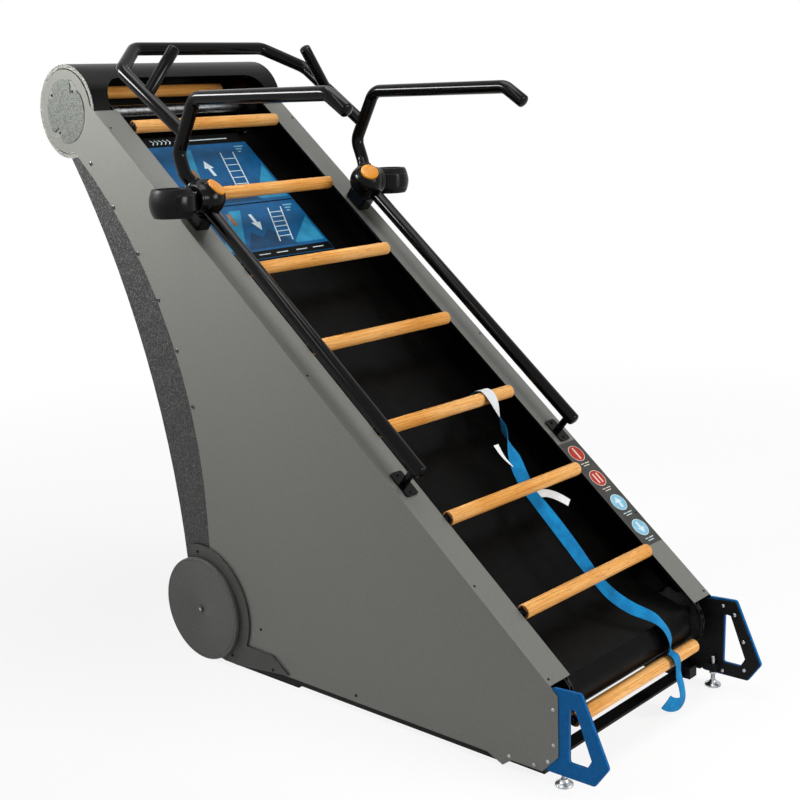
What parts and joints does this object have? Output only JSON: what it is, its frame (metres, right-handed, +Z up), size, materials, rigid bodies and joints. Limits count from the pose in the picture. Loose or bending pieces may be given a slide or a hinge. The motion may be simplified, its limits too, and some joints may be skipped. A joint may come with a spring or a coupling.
{
  "type": "vertical climber",
  "caption": "Inclined climbing ladder with an endless belt of wooden rungs, side panels, drum head, handlebar, handrails, cup holders and transport wheels.",
  "frame": {"origin": "on the floor under the middle of the bounding box", "axes": "+Z up, +Y the way the climber faces, from the low front to the high back, +X the climber's right"},
  "size_m": [0.993, 2.043, 1.7928],
  "materials": {
    "oak": "oiled oak, turned and chamfered",
    "zinc": "bright zinc plate",
    "chain_steel": "oiled, blackened chain steel",
    "grey_paint": "satin metallic grey coat on folded sheet",
    "black_powder": "fine textured black powder coat",
    "black_gloss": "gloss black coat on tube and sheet",
    "black_plastic": "fine grained moulding",
    "gloss_plastic": "glossy moulding",
    "tyre": "solid black wheel",
    "blue_paint": "blue coat on cut plate",
    "orange": "orange moulded cap",
    "webbing": "woven blue webbing",
    "sign": "printed sheet"
  },
  "bodies": {
    "frame": {"frame_rail_left": "black_powder", "side_panel_left": "grey_paint", "base_rail_left": "black_powder", "drum_plate_left": "grey_paint", "wheel_plate_left": "black_powder", "front_bracket_left": "blue_paint", "front_inner_plate_left": "black_powder", "handrail_left": "black_gloss", "hub_left": "gloss_plastic", "hub_cap_left": "orange", "cup_holder_left": "black_plastic", "frame_rail_right": "black_powder", "side_panel_right": "grey_paint", "base_rail_right": "black_powder", "drum_plate_right": "grey_paint", "wheel_plate_right": "black_powder", "front_bracket_right": "blue_paint", "front_inner_plate_right": "black_powder", "handrail_right": "black_gloss", "hub_right": "gloss_plastic", "hub_cap_right": "orange", "cup_holder_right": "black_plastic", "inner_pan": "black_gloss", "sign_panel": "sign", "base_cross_front": "black_powder", "base_cross_rear": "black_powder", "rear_cover": "black_powder", "drum_cover": "black_powder", "handlebar": "black_gloss"},
    "front_run": {"rung_01": "oak", "rung_02": "oak", "rung_03": "oak", "rung_04": "oak", "rung_05": "oak", "rung_06": "oak", "rung_07": "oak", "chain_front_left": "chain_steel", "chain_front_right": "chain_steel", "strap": "webbing"},
    "upper_shaft": {"upper_shaft": "zinc", "sprocket_upper_left": "chain_steel", "sprocket_upper_right": "chain_steel", "rung_08": "oak"},
    "back_run": {"rung_09": "oak", "rung_10": "oak", "rung_11": "oak", "rung_12": "oak", "rung_13": "oak", "rung_14": "oak", "rung_15": "oak", "chain_back_left": "chain_steel", "chain_back_right": "chain_steel"},
    "lower_shaft": {"lower_shaft": "zinc", "sprocket_lower_left": "chain_steel", "sprocket_lower_right": "chain_steel", "rung_16": "oak"},
    "wheel_left": {"transport_wheel_left": "tyre"},
    "wheel_right": {"transport_wheel_right": "tyre"},
    "foot_left": {"levelling_foot_left": "zinc"},
    "foot_right": {"levelling_foot_right": "zinc"}
  },
  "joints": [
    {"name": "ladder_travel", "type": "slide", "parent": "frame", "child": "front_run", "axis": [0, -0.766, -0.6428], "range_m": [-0.1, 0.1], "deforming": ["strap"]},
    {"name": "return_travel", "type": "slide", "parent": "frame", "child": "back_run", "axis": [0, -0.766, -0.6428], "range_m": [-0.1, 0.1]},
    {"name": "upper_shaft_turn", "type": "hinge", "parent": "frame", "child": "upper_shaft", "pos_m": [0, 0.88043, 1.59711], "axis": [1, 0, 0], "range_deg": [-71, 71]},
    {"name": "lower_shaft_turn", "type": "hinge", "parent": "frame", "child": "lower_shaft", "pos_m": [0, -0.79292, 0.193], "axis": [1, 0, 0], "range_deg": [-71, 71]},
    {"name": "wheel_left_spin", "type": "hinge", "parent": "frame", "child": "wheel_left", "pos_m": [-0.3867, 0.395, 0.158], "axis": [1, 0, 0], "continuous": true},
    {"name": "wheel_right_spin", "type": "hinge", "parent": "frame", "child": "wheel_right", "pos_m": [0.3867, 0.395, 0.158], "axis": [1, 0, 0], "continuous": true},
    {"name": "foot_left_screw", "type": "hinge", "parent": "frame", "child": "foot_left", "pos_m": [-0.3523, -0.884, 0], "axis": [0, 0, 1], "continuous": true},
    {"name": "foot_right_screw", "type": "hinge", "parent": "frame", "child": "foot_right", "pos_m": [0.3523, -0.884, 0], "axis": [0, 0, 1], "continuous": true}
  ],
  "couplings": [
    {"joint": "return_travel", "follows": "ladder_travel", "ratio": -1},
    {"joint": "upper_shaft_turn", "follows": "ladder_travel", "rad_per_m": 12.368},
    {"joint": "lower_shaft_turn", "follows": "ladder_travel", "rad_per_m": 12.368}
  ]
}
